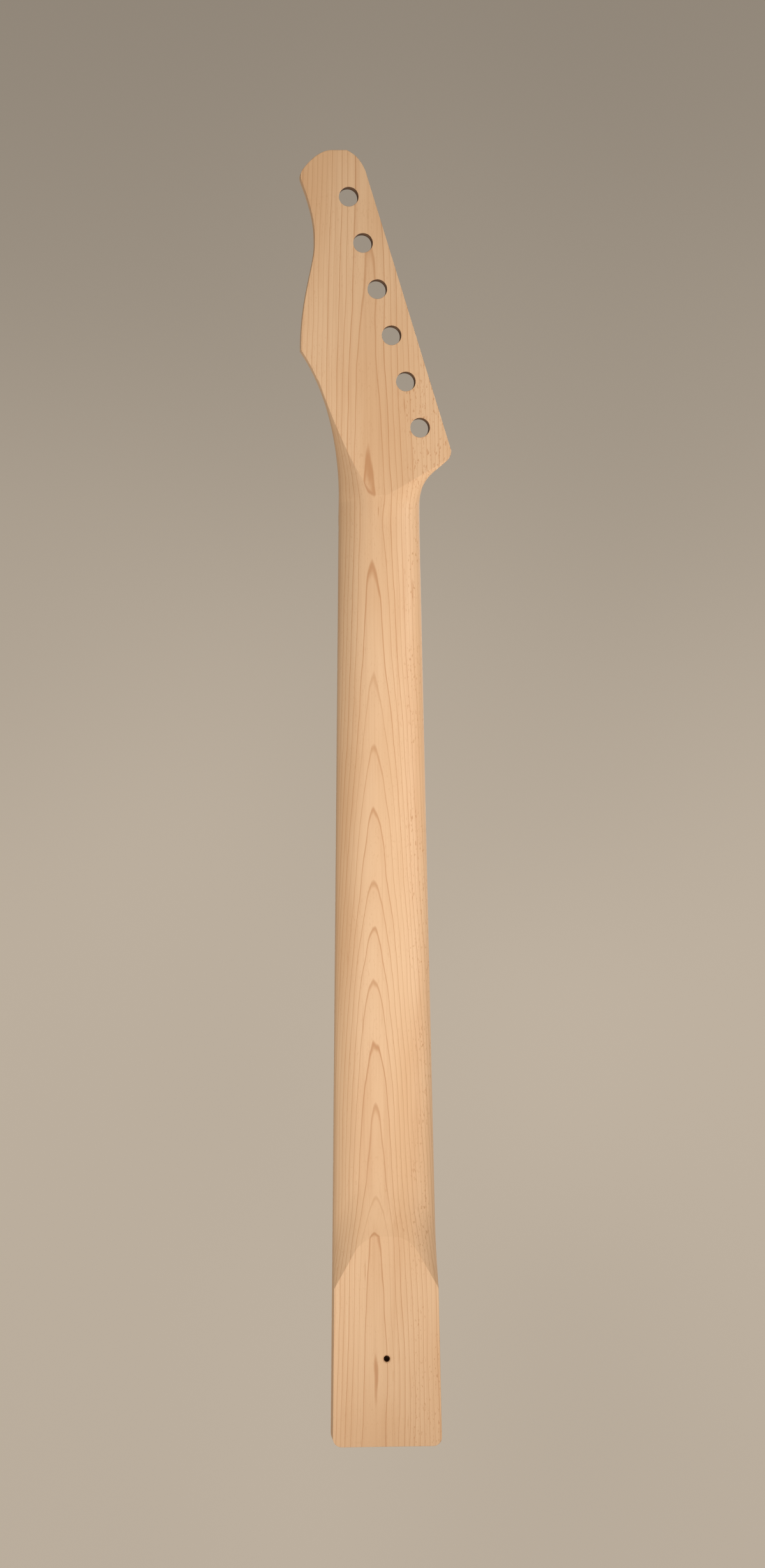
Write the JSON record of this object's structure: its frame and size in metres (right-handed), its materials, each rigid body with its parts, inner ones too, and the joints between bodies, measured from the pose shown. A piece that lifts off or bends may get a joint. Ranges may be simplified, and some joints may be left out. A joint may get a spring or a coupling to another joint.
{
  "type": "electric guitar neck",
  "caption": "Bolt-on electric guitar neck in maple with an in-line headstock drilled for tuners, radiused fretted fingerboard, nut, position dots and a turning truss rod.",
  "frame": {"origin": "on the centre line of the heel's flat back face, 25 mm above the heel's end", "axes": "+Z along the neck towards the headstock, -Y out of the back of the heel, +X towards the bass side"},
  "size_m": [0.0764, 0.0274, 0.6624],
  "materials": {
    "maple": "sanded bare maple",
    "board_maple": "satin maple",
    "bone": "polished bone",
    "nickel_silver": "polished nickel silver",
    "black_dot": "black inlay",
    "rod_steel": "plain steel",
    "block_brass": "machined brass"
  },
  "bodies": {
    "neck_body": {"neck": "maple", "fingerboard": "board_maple", "nut": "bone", "truss_rod_bar": "rod_steel", "truss_rod_head_block": "block_brass", "truss_rod_heel_block": "block_brass", "fret_01": "nickel_silver", "fret_02": "nickel_silver", "fret_03": "nickel_silver", "fret_04": "nickel_silver", "fret_05": "nickel_silver", "fret_06": "nickel_silver", "fret_07": "nickel_silver", "fret_08": "nickel_silver", "fret_09": "nickel_silver", "fret_10": "nickel_silver", "fret_11": "nickel_silver", "fret_12": "nickel_silver", "fret_13": "nickel_silver", "fret_14": "nickel_silver", "fret_15": "nickel_silver", "fret_16": "nickel_silver", "fret_17": "nickel_silver", "fret_18": "nickel_silver", "fret_19": "nickel_silver", "fret_20": "nickel_silver", "fret_21": "nickel_silver", "dot_03": "black_dot", "dot_05": "black_dot", "dot_07": "black_dot", "dot_09": "black_dot", "dot_12_treble": "black_dot", "dot_12_bass": "black_dot", "dot_15": "black_dot", "dot_17": "black_dot", "dot_19": "black_dot", "dot_21": "black_dot", "side_dot_03": "black_dot", "side_dot_05": "black_dot", "side_dot_07": "black_dot", "side_dot_09": "black_dot", "side_dot_12_lower": "black_dot", "side_dot_12_upper": "black_dot", "side_dot_15": "black_dot", "side_dot_17": "black_dot", "side_dot_19": "black_dot", "side_dot_21": "black_dot"},
    "truss_rod": {"truss_rod_screw": "rod_steel", "truss_rod_adjuster": "rod_steel"}
  },
  "joints": [
    {"name": "truss_rod_turn", "type": "hinge", "parent": "neck_body", "child": "truss_rod", "pos_m": [0, 0.0135, 0.43744], "axis": [0, 0, 1], "range_deg": [-360, 360]}
  ]
}
